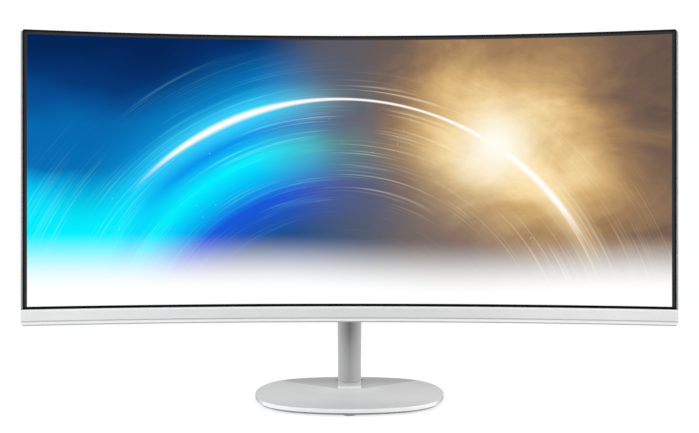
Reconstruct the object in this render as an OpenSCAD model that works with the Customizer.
// Curved ultrawide computer monitor on a low base, rounded square in plan.
// Millimetres. +Z up, +X to the viewer's right, +Y away from the viewer.
// The origin is on the desk, at the centre of the base.

/* [Screen] */
// Radius of the screen's curve, measured at the front glass
curve_r = 1500; // [1200:50:1800]
// Width of the picture, along the curve
active_w = 797.2; // [700:0.1:960]
// Height of the picture
active_h = 333.7; // [280:0.1:400]
// Dark border of the glass at the sides and top
mask_w = 3.3; // [2:0.1:6]
// Dark border of the glass above the chin
mask_bottom = 2.9; // [2:0.1:6]
// Width of the black frame's lip, seen from the front
lip_w = 2.1; // [1.8:0.1:4]
// Height of the pale bar below the picture
chin_h = 20.2; // [17:0.1:30]
// How far the bar and the back stand out beyond the black frame at each side
side_step = 2; // [0.5:0.1:3]

/* [Housing] */
// Depth of the head at its centre, from glass to back
rear_depth = 42; // [40:1:48]
// Depth of the head at its top, bottom and side edges
edge_depth = 14; // [12:0.5:18]
// Wall of the plastic covers
wall = 2.4; // [1.8:0.1:3]
// Radius of the head's two upper corners
corner_r = 2.5; // [1:0.5:6]
// Radius of the head's two lower corners
low_corner_r = 4.5; // [1:0.5:6]
// Side of the square recess that the stand bolts into
recess_side = 132; // [124:2:150]
// Height of the recess's centre and of the hinge above the head's lower edge
hinge_h = 172; // [160:1:185]
// Hole spacing of the standard wall-mount pattern
vesa_pitch = 100; // [100:1:100]

/* [Port bays] */
// Distance from the head's centre to the near side of each bay
bay_in = 62; // [60:1:70]
// Width of the signal port bay
bay_w = 106; // [80:1:110]
// Width of the power inlet's bay
power_bay_w = 50; // [40:1:70]
// Height of the bays' floor
bay_z = 40; // [34:1:50]
// Height of the bays' roof, which the sockets look down through
bay_top = 108; // [100:1:109]

/* [Hinge] */
// Rest tilt of the head, backwards
rest_tilt = 1.5; // [0:0.5:4]
// Distance from the head's back to the hinge axis
hinge_reach = 23.6; // [23:0.1:28]
// Hinge shaft diameter
shaft_d = 10; // [8:0.5:11]
// Width of the fixed hinge block
yoke_w = 31.6; // [28:0.2:34]
// Radius of the fixed hinge barrel
barrel_r = 13; // [11:0.5:14]
// Side of the hinge bracket's square plate
bracket_side = 74; // [70:1:80]
// Hole spacing of the hinge bracket's own screws
bracket_pitch = 54; // [48:1:58]

/* [Stand] */
// Height of the head's lower edge above the desk
screen_low = 95.8; // [80:0.1:140]
// Distance of the column's axis behind the base's centre
column_y = 78; // [74:1:82]
// Column diameter at the plinth
column_d = 30.2; // [28:0.2:32]
// Column diameter at its top
column_top_d = 33.6; // [32:0.2:36]
// Bore of the column
column_bore = 24; // [20:0.5:25]
// Width of the base, the same from side to side as from front to back
base_d = 236.4; // [220:0.1:300]
// Radius of the base's four sides, as a multiple of half its width
base_side_bow = 1.44; // [1.2:0.01:1.6]
// Radius of the base's four corners, as a multiple of half its width
base_corner_bow = 0.67; // [0.5:0.01:0.8]
// Height of the base's top above the desk
base_h = 9; // [9:0.1:12]
// Height of the base's bright rim
rim_h = 4.9; // [3:0.1:6]
// Slope of the base's rear facets, as rise over run
facet_slope = 0.007; // [0.005:0.0005:0.02]
// Front of the column's plinth, behind the base's centre
plinth_y = 21.4; // [15:0.1:30]
// Number of rubber feet
foot_count = 6; // [5:1:8]

/* [Hidden] */
$fn = 64;
e = 0.01;             // overlap that keeps cutters off coincident faces
fit = 0.05;           // running and locating clearance
gap = 0.3;            // clearance between separate shells
seat = 0.1;           // clearance between faces that are clamped together
clear = 0.2;          // radial clearance of a screw in a plain hole

// Head outline: half widths are lengths along the curve at the glass
lip_arc = active_w / 2 + mask_w;
bezel_arc = lip_arc + lip_w;
shell_arc = bezel_arc + side_step;
panel_arc = lip_arc + 0.4;
lip_top = chin_h + mask_bottom + active_h + mask_w;
head_h = lip_top + lip_w;
panel_top = lip_top + 0.4;
panel_low = chin_h - 3;

// Depths behind the front of the glass
bezel_front = -1.2;
split_d = 9;          // the front frame ends here and the rear cover starts
chin_front = -2.2;
chin_back = -0.4;
cell_t = 1.6;
film_t = 0.3;
prism_d = 1.8;
diffuser_d = 2.3;
guide_d = 2.9;
guide_t = 3;
reflector_d = 6.05;
pan_d = 6.6;
pan_t = 0.8;
pan_back = pan_d + pan_t;

// Domed back: one arc in side view and one in plan, which cross
side_sag = rear_depth - edge_depth;
side_r = (pow(head_h / 2, 2) + pow(side_sag, 2)) / (2 * side_sag);
plan_depth = rear_depth + 2;
plan_edge = edge_depth + 0.8;
edge_x = (curve_r + plan_edge) * sin(arc_deg(shell_arc));
edge_y = (curve_r + plan_edge) * cos(arc_deg(shell_arc)) - curve_r;
plan_sag = plan_depth - edge_y;
plan_r = (pow(edge_x, 2) + pow(plan_sag, 2)) / (2 * plan_sag);

// Boards, in the head's own frame
recess_y = rear_depth - 5;
plate_t = 2;
plate_side = recess_side - 14;
plate_y = recess_y - wall - seat - plate_t;
tray_y = pan_back + 1.4;
tray_t = 1;
tray_half = 193;
tray_low = bay_top;
tray_top = hinge_h + vesa_pitch / 2 + 14;
board_y = tray_y + tray_t + 2.2;
board_t = 1.6;
board_back = board_y + board_t;
board_low = bay_top + wall + 1.6;
board_h = 100;
board_in = bay_in + 2;
board_w = 126;
bay_y = board_back - 0.6;
port_z = bay_top + 0.5;
// sockets that look down through the bays' roof
hdmi_x = [-board_in - 20, -board_in - 42];
hdmi_w = 15.2;
display_x = -board_in - 66;
display_w = 17.2;
socket_d = 6;
jack_x = -board_in - 86;
jack_w = 8;
jack_d = 7;
inlet_w = 27;
inlet_d = 18;
inlet_x = board_in + 10 + inlet_w / 2;
ribbon_x = board_in + 20;
ribbon_w = 26;
lock_x = 150;
lock_z = 88;
m4_r = 2;
m3_r = 1.5;
tap_m4_r = 1.65;
insert_r = 4.5;
m3_head_r = 2.8;
m3_head_t = 2;
stud_r = 3.5;         // screw studs on the panel's pan
stud_seat_r = 5;      // material in the cover round each stud's end
screw_well_r = 3.4;   // counterbore for a cover screw's head
film_in = 1.9;        // the panel's sheets inside its frame, at each side
film_low = 4.4;       // and above its lower edge, clear of the lamps
film_top = 1.1;       // and below its upper edge
lock_w = 18;
lock_h = 14;
lock_slot_w = 7.2;
lock_slot_h = 3.2;
air_slot_h = 14;
air_slot_count = 15;
air_slot_pitch = 10;
sound_slot_count = 9;
sound_slot_pitch = 7;

// Menu stick and power key, on a flat board behind the right-hand lower corner
key_arc = 335;
key_z = 42;
key_d = pan_back + 1;
key_pivot_d = 13.6;
key_floor = 22.3;
key_board_t = 1.2;
stick_well_r = 11;
stick_hole_r = 7.5;
stick_r = 2.4;
stick_cap_r = 6;
power_x = 24;
power_floor = 19.6;
power_well_r = 7;
power_hole_r = 4.6;
power_cap_r = 4.2;

// Hinge and stand
hinge_setback = rear_depth + hinge_reach;
hinge_y = column_y;
hinge_z = screen_low + hinge_h * cos(rest_tilt) - hinge_setback * sin(rest_tilt);
shaft_r = shaft_d / 2;
washer_t = 1;
ear_in = yoke_w / 2 + washer_t + 0.2;
ear_t = 5;
ear_r = 12;
bracket_t = 3;
spring_t = 1.5;
nut_t = 5;
nut_r = 8;
spring_x = ear_in + ear_t + seat;
nut_x = spring_x + 2 * spring_t + 0.2;
shaft_tail = 14;      // shaft beyond the outer faces of the two ears, head included
cover_half = 36;
cover_wall = 2;
cover_r = 19;
cover_screw_x = 9;    // hinge cover's screws, to each side
cover_screw_z = -16;  // and below the hinge axis
flange_t = 3.5;
column_top = hinge_z - 26;
plinth_top = base_h + 1;
plinth_ramp = 12.3;
plinth_floor = base_h - 1.8;
crease_dx = 71.7;     // direction of each crease, from the plinth's corner to the rim
crease_dy = 60.5;
base_r = base_d / 2;
base_inset = 3;       // underside plate inside the rim
// centres of the base's four sides and four corners: each corner's circle lies inside the
// circles of the two sides next to it and touches them
side_c = (base_side_bow - 1) * base_r;
corner_c = (sqrt(2 * pow((base_side_bow - base_corner_bow) * base_r, 2) - side_c * side_c)
    - side_c) / 2;
base_wall = 2.35;
ceiling_z = base_h - 2.8;
plate_low = 1.7;
underplate_t = 1.5;
weight_z = plate_low + underplate_t + seat;
foot_flange_r = 26.7;
foot_r = 7.25;
foot_pcr = base_r - 12;
base_screw_r = 3;
base_screw_head_r = 9;
foot_pin_x = 19;      // pins that stop the column turning in the base
foot_pin_r = 2;
sweep_fn = 360;
dome_fn = 720;

function arc_deg(len) = len / curve_r * 180 / PI;

// The head, modelled upright, goes to its hinge and rest tilt
module in_head() {
    translate([0, hinge_y, hinge_z])
        rotate([-rest_tilt, 0, 0])
            translate([0, -hinge_setback, -hinge_h])
                children();
}

// Sweeps a flat (depth, height) profile along the screen's curve
module arc_sweep(half_len) {
    translate([0, -curve_r, 0])
        rotate([0, 0, 90 - arc_deg(half_len)])
            rotate_extrude(angle = 2 * arc_deg(half_len), $fn = sweep_fn)
                translate([curve_r, 0])
                    children();
}

// Moves to a place along the curve, with +Y straight out of the back
module on_arc(len) {
    translate([0, -curve_r, 0])
        rotate([0, 0, -arc_deg(len)])
            translate([0, curve_r, 0])
                children();
}

module rod_y(x, y, z, r, len) {
    translate([x, y, z]) rotate([-90, 0, 0]) cylinder(r = r, h = len);
}

module rod_x(x, y, z, r, len) {
    translate([x, y, z]) rotate([0, 90, 0]) cylinder(r = r, h = len);
}

// A box centred on x
module slab(w, y, d, z, h) {
    translate([-w / 2, y, z]) cube([w, d, h]);
}

// A curved sheet between two depths and two heights
module sheet(half_len, d, t, z0, z1) {
    arc_sweep(half_len) translate([d, z0]) square([t, z1 - z0]);
}

// Rounds the outer corners of a swept piece: two at the top or two at the bottom
module corner_cut(half_len, top) {
    r = top ? corner_r : low_corner_r;
    z = top ? head_h - r : r;
    for (side = [-1, 1])
        on_arc(side * half_len)
            translate([-side * r, -4, z])
                difference() {
                    translate([side > 0 ? 0 : -r - 1, 0, top ? 0 : -r - 1])
                        cube([r + 1, edge_depth + 6, r + 1]);
                    rod_y(0, -1, 0, r, edge_depth + 8);
                }
}

// Square of four places about the hinge's centre on the back of the head
module four_up(pitch) {
    for (sx = [-1, 1], sz = [-1, 1])
        translate([sx * pitch / 2, 0, hinge_h + sz * pitch / 2])
            children();
}

// ---- Front of the head ----

module front_bezel() color([0.05, 0.05, 0.055]) in_head() {
    pocket_arc = panel_arc + gap;
    pocket_top = panel_top + gap;
    shelf = panel_low - gap;
    difference() {
        union() {
            sheet(bezel_arc, bezel_front, split_d - bezel_front, chin_h + seat, head_h);
            sheet(bezel_arc, 0, split_d, 2.3, chin_h + 0.2);
        }
        sheet(lip_arc, bezel_front - 1, 3, chin_h - 1, lip_top);
        sheet(pocket_arc, -0.15, split_d + 1, shelf, pocket_top);
        sheet(pocket_arc, 1.4, split_d, 0, shelf - 1.5);
        corner_cut(bezel_arc, true);
    }
}

module chin_trim() color([0.86, 0.87, 0.88]) in_head() {
    edge_r = 2;
    difference() {
        arc_sweep(shell_arc)
            polygon(concat(
                [[split_d, 0], [split_d, chin_h], [-0.9, chin_h], [chin_front, chin_h - 2.8],
                 [chin_front, 6.2], [chin_front + 1, 5.9], [chin_front + 1, 4.7], [chin_front, 4.4]],
                [for (a = [180:15:270])
                    [chin_front + edge_r + edge_r * cos(a), edge_r + edge_r * sin(a)]]));
        arc_sweep(bezel_arc + gap)
            translate([chin_back, edge_r])
                square([split_d + 2, chin_h]);
        corner_cut(shell_arc, false);
    }
}

module lcd_panel() color([0.15, 0.35, 0.65]) in_head()
    sheet(panel_arc, 0, cell_t, panel_low, panel_top);

module prism_film() color([0.85, 0.88, 0.92]) in_head()
    sheet(panel_arc - film_in, prism_d, film_t, panel_low + film_low, panel_top - film_top);

module diffuser_film() color([0.95, 0.95, 0.95]) in_head()
    sheet(panel_arc - film_in, diffuser_d, film_t, panel_low + film_low, panel_top - film_top);

module light_guide() color([0.8, 0.92, 0.95]) in_head()
    sheet(panel_arc - film_in, guide_d, guide_t, panel_low + film_low, panel_top - film_top);

module reflector_sheet() color([0.98, 0.98, 0.98]) in_head()
    sheet(panel_arc - film_in, reflector_d, film_t, panel_low + film_low, panel_top - film_top);

module led_strip() color([0.9, 0.9, 0.86]) in_head()
    sheet(panel_arc - 2.4, guide_d - 0.3, guide_t + 0.6, panel_low + 1.2, panel_low + 2);

module led_packages() color([0.98, 0.93, 0.6]) in_head() {
    pitch = 16;
    count = floor(active_w / pitch);
    for (i = [0:count - 1])
        on_arc((i - (count - 1) / 2) * pitch)
            slab(4, guide_d, guide_t, panel_low + 2.05, 1.9);
}

module panel_frame() color([0.9, 0.9, 0.9]) in_head()
    difference() {
        sheet(panel_arc, prism_d, pan_d - prism_d - seat, panel_low, panel_top);
        sheet(panel_arc - 1.6, 0, pan_d + 2, panel_low + 0.8, panel_top - 0.8);
    }

module panel_back_pan() color([0.72, 0.73, 0.75]) in_head() {
    difference() {
        union() {
            sheet(panel_arc, pan_d, pan_t, panel_low, panel_top);
            difference() {
                union() {
                    for (p = cover_screw_places())
                        rod_y(p[0], stud_root(p), p[1], stud_r, stud_top(p) - stud_root(p));
                    // bosses under the key board
                    on_arc(key_arc)
                        for (x = [-10, 30])
                            rod_y(x, pan_d, key_z, 2.5, key_d - gap - pan_d);
                }
                sheet(panel_arc, 0, pan_d + pan_t / 2, 0, head_h);
            }
        }
        for (p = cover_screw_places())
            rod_y(p[0], stud_root(p) + 2, p[1], m3_r + fit, 60);
    }
}

// ---- Boards and speakers ----

module source_board() color([0.1, 0.4, 0.25]) in_head()
    sheet(180, pan_back + 0.2, 1, 22, 40);

module panel_ribbon() color([0.85, 0.8, 0.7]) in_head()
    translate([-ribbon_x, 0, 0]) {
        slab(ribbon_w, pan_back - 0.4, film_t, 30, 111);
        slab(ribbon_w, pan_back - 0.4, board_y - pan_back + 0.3, 140, 1);
    }

module board_tray() color([0.75, 0.76, 0.78]) in_head()
    difference() {
        union() {
            slab(2 * tray_half, tray_y, tray_t, tray_low, tray_top - tray_low);
            for (side = [-1, 1])
                translate([side * (tray_half - 0.5), 0, 0])
                    slab(1, tray_leg_y(), tray_y - tray_leg_y() + e, tray_low, tray_top - tray_low);
            // pressed standoffs under the two boards
            for (side = [-1, 1], p = board_screw_places())
                rod_y(side * p[0], tray_y + tray_t - e, p[1], 3, board_y - tray_y - tray_t + e);
        }
        translate([-ribbon_x, 0, 0])
            slab(ribbon_w + 4, tray_y - 1, tray_t + 2, 135, 11);
        for (side = [-1, 1], p = board_screw_places())
            rod_y(side * p[0], tray_y - 1, p[1], m3_r + fit, 8);
        four_up(vesa_pitch)
            rod_y(0, tray_y - 1, 0, m4_r + fit, 4);
    }

module circuit_board(side) {
    difference() {
        translate([side > 0 ? board_in : -board_in - board_w, board_y, board_low])
            cube([board_w, board_t, board_h]);
        for (p = board_screw_places())
            rod_y(side * p[0], board_y - 1, p[1], m3_r + fit, board_t + 2);
    }
}

module main_board() color([0.08, 0.35, 0.2]) in_head() circuit_board(-1);

module power_board() color([0.55, 0.42, 0.2]) in_head() circuit_board(1);

// Packages on the main board: [x from the head's centre, height above the board's edge, width, height, thick]
module board_chips() color([0.12, 0.12, 0.13]) in_head()
    for (c = [[-112, 48, 30, 30, 6], [-150, 52, 14, 18, 1.4], [-150, 26, 14, 18, 1.4],
              [-86, 60, 10, 10, 1.2], [-176, 70, 8, 24, 4], [-100, 20, 8, 6, 1]])
        translate([c[0], 0, board_low + c[1]])
            slab(c[2], board_back + fit, c[4], -c[3] / 2, c[3]);

// A socket that looks down: a metal shell round a thin tongue
module socket(x, w, d, h, rim, tongue) {
    y = board_back + seat;
    translate([x, 0, 0]) {
        difference() {
            slab(w, y, d, port_z, h);
            slab(w - 2 * rim, y + rim, d - 2 * rim, port_z - 1, h - 2);
        }
        slab(w - 2 * rim - 2.4, y + d / 2 - tongue / 2, tongue, port_z + 0.8, h - 2);
    }
}

module hdmi_ports() color([0.75, 0.75, 0.77]) in_head()
    for (x = hdmi_x)
        socket(x, hdmi_w, socket_d, 12, 0.5, 1);

module display_port() color([0.75, 0.75, 0.77]) in_head()
    socket(display_x, display_w, socket_d, 12, 0.5, 1);

module audio_jack() color([0.1, 0.1, 0.1]) in_head()
    translate([jack_x, board_back + seat, port_z])
        difference() {
            slab(jack_w, 0, jack_d, 0, 13);
            translate([0, jack_d / 2, -1]) cylinder(r = 1.8, h = 12);
        }

// Mains inlet: a deep cup with three blades
module ac_inlet() color([0.08, 0.08, 0.08]) in_head() {
    h = 22;
    rim = 1.2;
    translate([inlet_x, board_back + seat, port_z]) {
        difference() {
            slab(inlet_w, 0, inlet_d, 0, h);
            slab(inlet_w - 2 * rim, rim, inlet_d - 2 * rim, -1, h - 4);
        }
        for (p = [[-7, 7.4], [7, 7.4], [0, 11.2]])
            translate([p[0], p[1], 2.5])
                slab(2, -2, 4, 0, h - 6);
    }
}

module transformer() color([0.85, 0.75, 0.35]) in_head()
    translate([board_in + 50, board_back + fit, board_low + 56]) {
        slab(30, 0, 14, -14, 28);
        slab(20, 14 - e, 2, -10, 20);
    }

module capacitors() color([0.15, 0.15, 0.2]) in_head()
    for (p = [[board_in + 14, 44, 9, 18], [board_in + 14, 70, 6.5, 16],
              [board_in + 82, 70, 6, 12], [board_in + 82, 50, 6, 12]])
        rod_y(p[0], board_back + fit, board_low + p[1], p[2], p[3]);

module board_screws() color([0.8, 0.8, 0.8]) in_head()
    for (side = [-1, 1], p = board_screw_places()) {
        rod_y(side * p[0], board_y - 2, p[1], m3_r, board_t + 2 + e);
        rod_y(side * p[0], board_back, p[1], m3_head_r, m3_head_t - 0.2);
    }

function board_screw_places() = [for (dx = [5, board_w - 5], dz = [5, board_h - 5])
    [board_in + dx, board_low + dz]];

module speaker(side) {
    in_head() on_arc(side * 245) {
        slab(76, pan_back + 0.8, 9.2, 30, 32);
        rod_y(20, pan_back + 9.9, 46, 13, 1.2);
        rod_y(-20, pan_back + 9.9, 46, 13, 1.2);
    }
}

module speaker_left() color([0.12, 0.12, 0.12]) speaker(-1);

module speaker_right() color([0.12, 0.12, 0.12]) speaker(1);

module vesa_plate() color([0.7, 0.71, 0.73]) in_head()
    difference() {
        slab(plate_side, plate_y, plate_t, hinge_h - plate_side / 2, plate_side);
        four_up(vesa_pitch) rod_y(0, plate_y - 1, 0, insert_r + fit, plate_t + 2);
        four_up(bracket_pitch) rod_y(0, plate_y - 1, 0, m4_r + fit, plate_t + 2);
    }

module vesa_inserts() color([0.75, 0.72, 0.6]) in_head()
    four_up(vesa_pitch)
        difference() {
            rod_y(0, tray_y + tray_t + fit, 0, insert_r, recess_y - tray_y - tray_t - 0.15);
            rod_y(0, recess_y - 14, 0, tap_m4_r, 20);
        }

// ---- Rear cover ----

// The head's outer volume behind the front frame, shrunk by inset
module rear_solid(inset, front) {
    intersection() {
        arc_sweep(shell_arc - inset)
            intersection() {
                translate([front, inset])
                    square([rear_depth + 4 - front, head_h - 2 * inset]);
                translate([rear_depth - side_r, head_h / 2])
                    circle(r = side_r - inset, $fn = dome_fn);
            }
        translate([0, plan_depth - plan_r, -1])
            cylinder(r = plan_r - inset, h = head_h + 2, $fn = dome_fn);
    }
}

// Places of the rear cover's screws: [x, height]
function cover_screw_places() = [for (sx = [-1, 1]) each
    [[sx * 210, head_h - 60], [sx * 190, 74], [sx * 60, head_h - 32]]];
function pan_y(x) = sqrt(pow(curve_r + pan_back, 2) - x * x) - curve_r;
function lock_y() = dome_y(lock_x + lock_w / 2, lock_z - lock_h / 2) - 0.6;
function tray_leg_y() = pan_y(tray_half - 1) + gap;
function side_depth(z) = rear_depth - side_r + sqrt(pow(side_r, 2) - pow(z - head_h / 2, 2));
function dome_y(x, z) = min(
    sqrt(pow(curve_r + side_depth(z), 2) - x * x) - curve_r,
    plan_depth - plan_r + sqrt(plan_r * plan_r - x * x));
function stud_root(p) = pan_y(abs(p[0]) + stud_r) - 0.2;
function stud_top(p) = dome_y(abs(p[0]) + stud_r, p[1]) - 5.2;

module bay_box(side, w, grow) {
    x = side > 0 ? bay_in : -bay_in - w;
    translate([x - grow, bay_y - grow, bay_z - grow])
        cube([w + 2 * grow, rear_depth, bay_top - bay_z + 2 * grow]);
}

// A row of upright slots
module slot_row(x0, count, pitch, z, h, w) {
    for (i = [0:count - 1])
        translate([x0 + i * pitch, 0, 0])
            slab(w, -20, rear_depth + 40, z, h);
}

module rear_cover() color([0.9, 0.9, 0.91]) in_head() {
    difference() {
        // the screw wells are cut from the solid shell first
        difference() {
            rear_solid(0, split_d + gap);
            for (p = cover_screw_places())
                rod_y(p[0], stud_top(p) + 2.2, p[1], screw_well_r, 20);
        }
        for (p = cover_screw_places())
            rod_y(p[0], stud_top(p) - 2, p[1], m3_r + clear, 4.2 + e);
        difference() {
            rear_solid(wall, split_d - 1);
            // material kept inside for the recess, bays, keys, lock slot and screw seats
            slab(recess_side + 2 * wall, recess_y - wall, 20,
                hinge_h - recess_side / 2 - wall, recess_side + 2 * wall);
            bay_box(-1, bay_w, wall);
            bay_box(1, power_bay_w, wall);
            on_arc(key_arc) {
                rod_y(0, key_floor - wall, key_z, stick_well_r + 2, 20);
                rod_y(power_x, power_floor - wall, key_z, power_well_r + 2, 20);
            }
            slab_at_lock(lock_w + 4, lock_h + 4, lock_y() - wall);
            for (p = cover_screw_places())
                rod_y(p[0], stud_top(p) + seat, p[1], stud_seat_r, 20);
        }
        // recess for the stand, with rounded corners
        translate([0, recess_y, hinge_h])
            rotate([-90, 0, 0])
                linear_extrude(20)
                    round_square(recess_side, 8);
        bay_box(-1, bay_w, 0);
        bay_box(1, power_bay_w, 0);
        // sockets
        for (x = hdmi_x)
            socket_window(x, hdmi_w, socket_d);
        socket_window(display_x, display_w, socket_d);
        socket_window(jack_x, jack_w, jack_d);
        socket_window(inlet_x, inlet_w, inlet_d);
        // inserts and bracket screws in the recess
        four_up(vesa_pitch) rod_y(0, recess_y - 6, 0, insert_r + seat, 12);
        four_up(bracket_pitch) rod_y(0, recess_y - 6, 0, m4_r + clear, 12);
        // menu stick and power key
        on_arc(key_arc) {
            rod_y(0, key_floor, key_z, stick_well_r, 10);
            rod_y(0, key_floor - 6, key_z, stick_hole_r, 12);
            rod_y(power_x, power_floor, key_z, power_well_r, 10);
            rod_y(power_x, power_floor - 6, key_z, power_hole_r, 12);
        }
        // lock slot in its own flat
        slab_at_lock(lock_w, lock_h, lock_y());
        slab_at_lock(lock_slot_w, lock_slot_h, 0);
        // air slots above the boards and sound slots over the speakers
        slot_row(-210, air_slot_count, air_slot_pitch, head_h - 50, air_slot_h, 2.4);
        slot_row(70, air_slot_count, air_slot_pitch, head_h - 50, air_slot_h, 2.4);
        slot_row(-276, sound_slot_count, sound_slot_pitch, 40, air_slot_h, 2.2);
        slot_row(220, sound_slot_count, sound_slot_pitch, 40, air_slot_h, 2.2);
        corner_cut(shell_arc, true);
        corner_cut(shell_arc, false);
    }
}

module round_square(side, r) {
    h = side / 2 - r;
    square([side, 2 * h], center = true);
    square([2 * h, side], center = true);
    for (sx = [-1, 1], sy = [-1, 1])
        translate([sx * h, sy * h]) circle(r = r);
}

module socket_window(x, w, d) {
    translate([x, 0, 0])
        slab(w + 0.4, board_back - seat, d + 0.4, bay_top - 1, wall + 2);
}

module slab_at_lock(w, h, y) {
    translate([lock_x, 0, 0]) slab(w, y, 40, lock_z - h / 2, h);
}

module lock_slot_plate() color([0.5, 0.5, 0.52]) in_head()
    translate([lock_x, 0, 0])
        difference() {
            slab(lock_w, lock_y() - wall - 1.6, 1.5, lock_z - lock_h / 2, lock_h);
            slab(lock_slot_w, lock_y() - wall - 4, 6, lock_z - lock_slot_h / 2, lock_slot_h);
        }

module cover_screws() color([0.3, 0.3, 0.32]) in_head()
    for (p = cover_screw_places()) {
        rod_y(p[0], stud_top(p) - 6, p[1], m3_r, 8.2 + e);
        difference() {
            rod_y(p[0], stud_top(p) + 2.2, p[1], m3_head_r, m3_head_t);
            slab_turned(p[0], stud_top(p) + 3.4, p[1]);
        }
    }

// Cross slot of a screw head that faces the back
module slab_turned(x, y, z) {
    translate([x, y, z]) {
        slab(3.2, 0, 3, -0.35, 0.7);
        slab(0.7, 0, 3, -1.6, 3.2);
    }
}

// ---- Menu stick and power key ----

module key_board() color([0.1, 0.4, 0.25]) in_head() on_arc(key_arc)
    translate([-14, key_d, key_z - 12]) cube([48, key_board_t, 24]);

module key_switch() color([0.2, 0.2, 0.2]) in_head() on_arc(key_arc)
    translate([0, 0, key_z]) {
        slab(12, key_d + 1.3, 2.7, -6, 12);
        for (side = [-1, 1])
            difference() {
                slab(2.4, key_d + 3.9, key_pivot_d + 1.6 - key_d - 3.9, side * 5.4 - 0.5, 1);
                translate([0, key_pivot_d, side * 5.4 - 1]) cylinder(r = 0.5 + fit, h = 2);
            }
    }

module key_ring() color([0.75, 0.75, 0.75]) in_head() on_arc(key_arc)
    translate([0, 0, key_z]) {
        difference() {
            rod_y(0, key_pivot_d - 0.6, 0, 4.4, 1.2);
            rod_y(0, key_pivot_d - 2, 0, 3.2, 4);
            rod_x(-6, key_pivot_d, 0, 0.35 + fit, 12);
        }
        for (side = [-1, 1])
            translate([0, key_pivot_d, side > 0 ? 4.2 : -5.8]) cylinder(r = 0.5, h = 1.6);
    }

module key_stem() color([0.85, 0.85, 0.85]) in_head() on_arc(key_arc)
    translate([0, 0, key_z]) {
        rod_y(0, 12.9, 0, stick_r, 6.1);
        rod_x(-4, key_pivot_d, 0, 0.35, 8);
    }

module key_cap() color([0.12, 0.12, 0.13]) in_head() on_arc(key_arc)
    translate([0, 0, key_z])
        difference() {
            union() {
                rod_y(0, 16, 0, 3.5, 5);
                rod_y(0, 20.9, 0, stick_cap_r, 4.6);
            }
            rod_y(0, 15, 0, stick_r + fit, 4.6);
            // dished thumb rest
            translate([0, 25.5 + 11, 0]) sphere(r = 12);
        }

module power_switch() color([0.3, 0.3, 0.3]) in_head() on_arc(key_arc)
    translate([power_x, 0, key_z]) slab(6, key_d + 1.3, 5, -3, 6);

module power_button() color([0.12, 0.12, 0.13]) in_head() on_arc(key_arc)
    difference() {
        union() {
            rod_y(power_x, 15.5, key_z, 5.6, 1.1);
            rod_y(power_x, 16, key_z, power_cap_r, 4.6);
        }
        translate([power_x, 20.6 + 15.4, key_z]) sphere(r = 16);
    }

// ---- Hinge ----

module hinge_bracket() color([0.6, 0.61, 0.63]) in_head() {
    low = hinge_h - bracket_side / 2;
    difference() {
        union() {
            slab(bracket_side, recess_y + seat, bracket_t, low, bracket_side);
            for (side = [-1, 1])
                translate([side * (ear_in + ear_t / 2), 0, 0]) {
                    slab(ear_t, recess_y + bracket_t - e, hinge_setback - recess_y - bracket_t + e,
                        hinge_h - ear_r, 2 * ear_r);
                    rod_x(-ear_t / 2, hinge_setback, hinge_h, ear_r, ear_t);
                }
        }
        four_up(bracket_pitch) rod_y(0, recess_y - 1, 0, m4_r + clear, 6);
        rod_x(-cover_half, hinge_setback, hinge_h, shaft_r + fit, 2 * cover_half);
    }
}

module hinge_bracket_screws() color([0.7, 0.7, 0.72]) in_head()
    four_up(bracket_pitch) {
        rod_y(0, plate_y - 2, 0, m4_r, recess_y + bracket_t + seat - plate_y + 2 + e);
        difference() {
            rod_y(0, recess_y + bracket_t + seat, 0, 3.8, 2.4);
            slab_turned(0, recess_y + bracket_t + 1.2, 0);
        }
    }

module hinge_shaft() color([0.65, 0.65, 0.67]) in_head() {
    head_x = -ear_in - ear_t - seat - 3;
    rod_x(head_x, hinge_setback, hinge_h, shaft_r, 2 * ear_in + 2 * ear_t + shaft_tail);
    rod_x(head_x, hinge_setback, hinge_h, nut_r, 3);
}

module spring_washers() color([0.5, 0.5, 0.52]) in_head()
    for (i = [0, 1])
        difference() {
            rod_x(spring_x + i * (spring_t + seat), hinge_setback, hinge_h, nut_r, spring_t);
            rod_x(0, hinge_setback, hinge_h, shaft_r + fit, 2 * cover_half);
        }

module hinge_nut() color([0.55, 0.55, 0.57]) in_head()
    difference() {
        translate([nut_x, hinge_setback, hinge_h])
            rotate([0, 90, 0]) cylinder(r = nut_r, h = nut_t, $fn = 6);
        rod_x(0, hinge_setback, hinge_h, shaft_r + fit, 2 * cover_half);
    }

module friction_washers() color([0.8, 0.7, 0.4]) in_head()
    for (side = [-1, 1])
        difference() {
            rod_x(side > 0 ? yoke_w / 2 + seat : -yoke_w / 2 - seat - washer_t,
                hinge_setback, hinge_h, barrel_r - 2, washer_t);
            rod_x(-cover_half, hinge_setback, hinge_h, shaft_r + fit, 2 * cover_half);
        }

module hinge_yoke() color([0.6, 0.6, 0.62])
    translate([0, hinge_y, hinge_z])
        difference() {
            union() {
                rod_x(-yoke_w / 2, 0, 0, barrel_r, yoke_w);
                translate([-yoke_w / 2, -barrel_r + 1, column_top - hinge_z + flange_t - e])
                    cube([yoke_w, 2 * barrel_r - 2, hinge_z - column_top - flange_t]);
                translate([0, 0, column_top - hinge_z + seat])
                    cylinder(d = column_top_d, h = flange_t - seat);
                translate([0, 0, column_top - hinge_z - 34])
                    cylinder(r = column_bore / 2 - fit, h = 35);
            }
            rod_x(-yoke_w, 0, 0, shaft_r + fit, 2 * yoke_w);
            for (side = [-1, 1])
                rod_y(side * cover_screw_x, 4, cover_screw_z, m3_r + fit, 20);
        }

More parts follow.
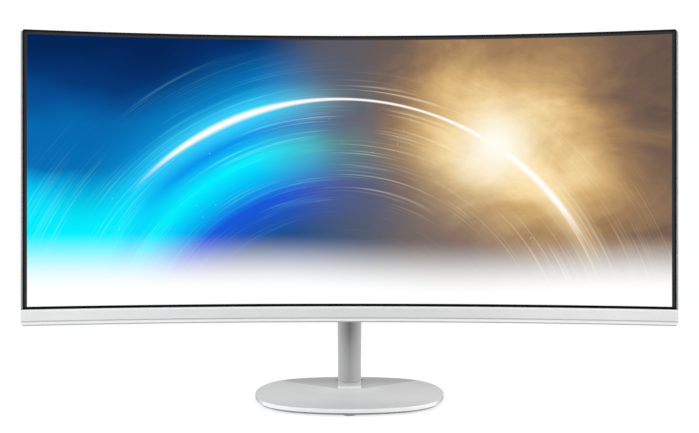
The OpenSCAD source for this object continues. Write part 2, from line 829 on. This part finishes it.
module hinge_cover() color([0.6, 0.6, 0.61])
    translate([0, hinge_y, hinge_z])
        difference() {
            translate([-cover_half, 0, 0]) rotate([90, 0, 90])
                linear_extrude(2 * cover_half) hood_outline(cover_r, 0);
            translate([-cover_half + cover_wall, 0, 0]) rotate([90, 0, 90])
                linear_extrude(2 * cover_half - 2 * cover_wall)
                    hood_outline(cover_r - cover_wall, cover_wall);
            // the block's neck comes up through the floor
            slab(yoke_w + 2 * gap, -barrel_r + 1 - gap, 2 * barrel_r - 2 + 2 * gap, -40, 40);
            for (side = [-1, 1])
                rod_y(side * cover_screw_x, 4, cover_screw_z, m3_r + clear, 20);
        }

// Hood section in (y, z): round over the shaft, square down to the column's flange, open in front
module hood_outline(r, lift) {
    low = column_top + flange_t + seat - hinge_z + lift;
    open = lift > 0 ? -20 : -4;
    intersection() {
        union() {
            circle(r = r);
            translate([-r, low]) square([2 * r, -low]);
        }
        translate([open, -40]) square([60, 80]);
    }
}

module hinge_cover_screws() color([0.35, 0.35, 0.37])
    for (side = [-1, 1])
        translate([side * cover_screw_x, hinge_y, hinge_z + cover_screw_z]) {
            rod_y(0, 5, 0, m3_r, cover_r - 5 + seat + e);
            difference() {
                rod_y(0, cover_r + seat, 0, m3_head_r, m3_head_t - 0.4);
                slab_turned(0, cover_r + 0.9, 0);
            }
        }

// ---- Stand ----

module column_tube() color([0.68, 0.68, 0.7])
    translate([0, column_y, plinth_top + seat])
        difference() {
            cylinder(d1 = column_d, d2 = column_top_d, h = column_top - plinth_top - seat);
            translate([0, 0, -1]) cylinder(d = column_bore, h = column_top);
        }

module column_foot() color([0.55, 0.55, 0.57])
    translate([0, column_y, 0])
        difference() {
            union() {
                translate([0, 0, weight_z]) cylinder(r = foot_flange_r, h = ceiling_z - seat - weight_z);
                translate([0, 0, weight_z]) cylinder(r = column_bore / 2 - fit, h = 44);
                for (side = [-1, 1])
                    translate([side * foot_pin_x, 0, plate_low + 0.2]) cylinder(r = foot_pin_r, h = 3);
            }
            cylinder(r = base_screw_r + fit, h = 26);
        }

module plinth_plan(grow) {
    w = column_d + 2 * grow;
    translate([-w / 2, plinth_y - grow]) square([w, column_y - plinth_y + grow]);
    translate([0, column_y]) circle(d = w);
}

module column_plinth() color([0.82, 0.82, 0.84])
    difference() {
        translate([0, 0, plinth_floor + seat])
            linear_extrude(plinth_top - plinth_floor - seat) plinth_plan(0);
        translate([0, column_y, 0]) cylinder(r = column_bore / 2 + fit, h = 20);
        // sloping front
        translate([0, plinth_y, base_h])
            rotate([atan((plinth_top - base_h) / plinth_ramp), 0, 0])
                slab(60, -10, 10 + plinth_ramp / cos(atan((plinth_top - base_h) / plinth_ramp)), 0, 5);
    }

// A disc between two heights
module disc(x, y, r, z0, z1) {
    translate([x, y, z0]) cylinder(r = r, h = z1 - z0, $fn = 180);
}

// The base's outline, shrunk by inset, between two heights
module base_blank(inset, z0, z1) {
    side_r = base_side_bow * base_r - inset;
    turn = atan(corner_c / (corner_c + side_c));
    reach = 2 * base_r;
    difference() {
        intersection() {
            disc(0, side_c, side_r, z0, z1);
            disc(0, -side_c, side_r, z0, z1);
            disc(side_c, 0, side_r, z0, z1);
            disc(-side_c, 0, side_r, z0, z1);
        }
        for (q = [0:3])
            rotate([0, 0, q * 90])
                translate([corner_c, corner_c, 0])
                    difference() {
                        translate([0, 0, z0 - 1])
                            linear_extrude(z1 - z0 + 2)
                                polygon([[0, 0], [reach * cos(turn), reach * sin(turn)],
                                    [reach, reach], [reach * sin(turn), reach * cos(turn)]]);
                        disc(0, 0, base_corner_bow * base_r - inset, z0, z1);
                    }
    }
}

// Everything above one plane that falls away behind a line through (x, y)
module behind_line(x, y, turn) {
    translate([x, y, base_h])
        rotate([0, 0, turn])
            rotate([-atan(facet_slope), 0, 0])
                translate([-2 * base_d, 0, 0])
                    cube([4 * base_d, 2 * base_d, 20]);
}

module base_cover() color([0.82, 0.82, 0.83]) {
    crease_turn = atan(crease_dy / crease_dx);
    half = column_d / 2;
    difference() {
        base_blank(0, base_h - rim_h, base_h);
        base_blank(base_wall, -1, ceiling_z);
        intersection() {
            behind_line(0, plinth_y, 0);
            behind_line(half, plinth_y, crease_turn);
            behind_line(-half, plinth_y, -crease_turn);
        }
        translate([0, 0, plinth_floor]) linear_extrude(10) plinth_plan(0.1);
        translate([0, column_y, 0]) cylinder(r = column_bore / 2 + 0.3, h = 20);
    }
}

module base_weight() color([0.45, 0.45, 0.47])
    difference() {
        base_blank(base_wall + gap, weight_z, ceiling_z - seat);
        translate([0, column_y, 0]) cylinder(r = foot_flange_r + gap, h = 20);
        for (p = underplate_screw_places())
            translate([p[0], p[1], 0]) cylinder(r = m3_r + clear, h = 20);
    }

function underplate_screw_places() = [for (a = [0:60:300])
    [(base_r - 24) * cos(a), (base_r - 24) * sin(a)]];

module base_underplate() color([0.57, 0.57, 0.58])
    difference() {
        base_blank(base_inset, plate_low, plate_low + underplate_t);
        translate([0, column_y, 0]) {
            cylinder(r = base_screw_head_r + 0.5, h = 10);
            for (side = [-1, 1])
                translate([side * foot_pin_x, 0, 0]) cylinder(r = foot_pin_r + clear, h = 10);
        }
        for (p = underplate_screw_places())
            translate([p[0], p[1], 0]) cylinder(r = m3_r + clear, h = 10);
    }

module underplate_screws() color([0.3, 0.3, 0.32])
    for (p = underplate_screw_places())
        translate([p[0], p[1], 0]) {
            translate([0, 0, plate_low - fit - e])
                cylinder(r = m3_r, h = ceiling_z - 0.4 - plate_low);
            difference() {
                translate([0, 0, plate_low - 1.1]) cylinder(r = m3_head_r, h = 1.1 - fit);
                translate([-1.6, -0.35, plate_low - 2]) cube([3.2, 0.7, 1.4]);
                translate([-0.35, -1.6, plate_low - 2]) cube([0.7, 3.2, 1.4]);
            }
        }

module rubber_feet() color([0.62, 0.62, 0.63])
    for (i = [0:foot_count - 1])
        rotate([0, 0, -90 + i * 360 / foot_count])
            translate([foot_pcr, 0, 0])
                cylinder(r1 = foot_r - 0.4, r2 = foot_r, h = plate_low - fit);

module base_screw() color([0.7, 0.7, 0.72])
    translate([0, column_y, 0])
        difference() {
            union() {
                translate([0, 0, plate_low + seat]) cylinder(r = base_screw_head_r, h = 1.3);
                translate([0, 0, plate_low + 1]) cylinder(r = base_screw_r, h = 21);
            }
            translate([-6, -0.8, 0]) cube([12, 1.6, plate_low + 0.8]);
        }

front_bezel();
chin_trim();
lcd_panel();
prism_film();
diffuser_film();
light_guide();
reflector_sheet();
led_strip();
led_packages();
panel_frame();
panel_back_pan();
source_board();
panel_ribbon();
board_tray();
main_board();
board_chips();
hdmi_ports();
display_port();
audio_jack();
power_board();
transformer();
capacitors();
ac_inlet();
board_screws();
speaker_left();
speaker_right();
vesa_plate();
vesa_inserts();
rear_cover();
lock_slot_plate();
cover_screws();
key_board();
key_switch();
key_ring();
key_stem();
key_cap();
power_switch();
power_button();
hinge_bracket();
hinge_bracket_screws();
hinge_shaft();
hinge_nut();
friction_washers();
spring_washers();
hinge_yoke();
hinge_cover();
hinge_cover_screws();
column_tube();
column_foot();
column_plinth();
base_cover();
base_weight();
base_underplate();
underplate_screws();
rubber_feet();
base_screw();
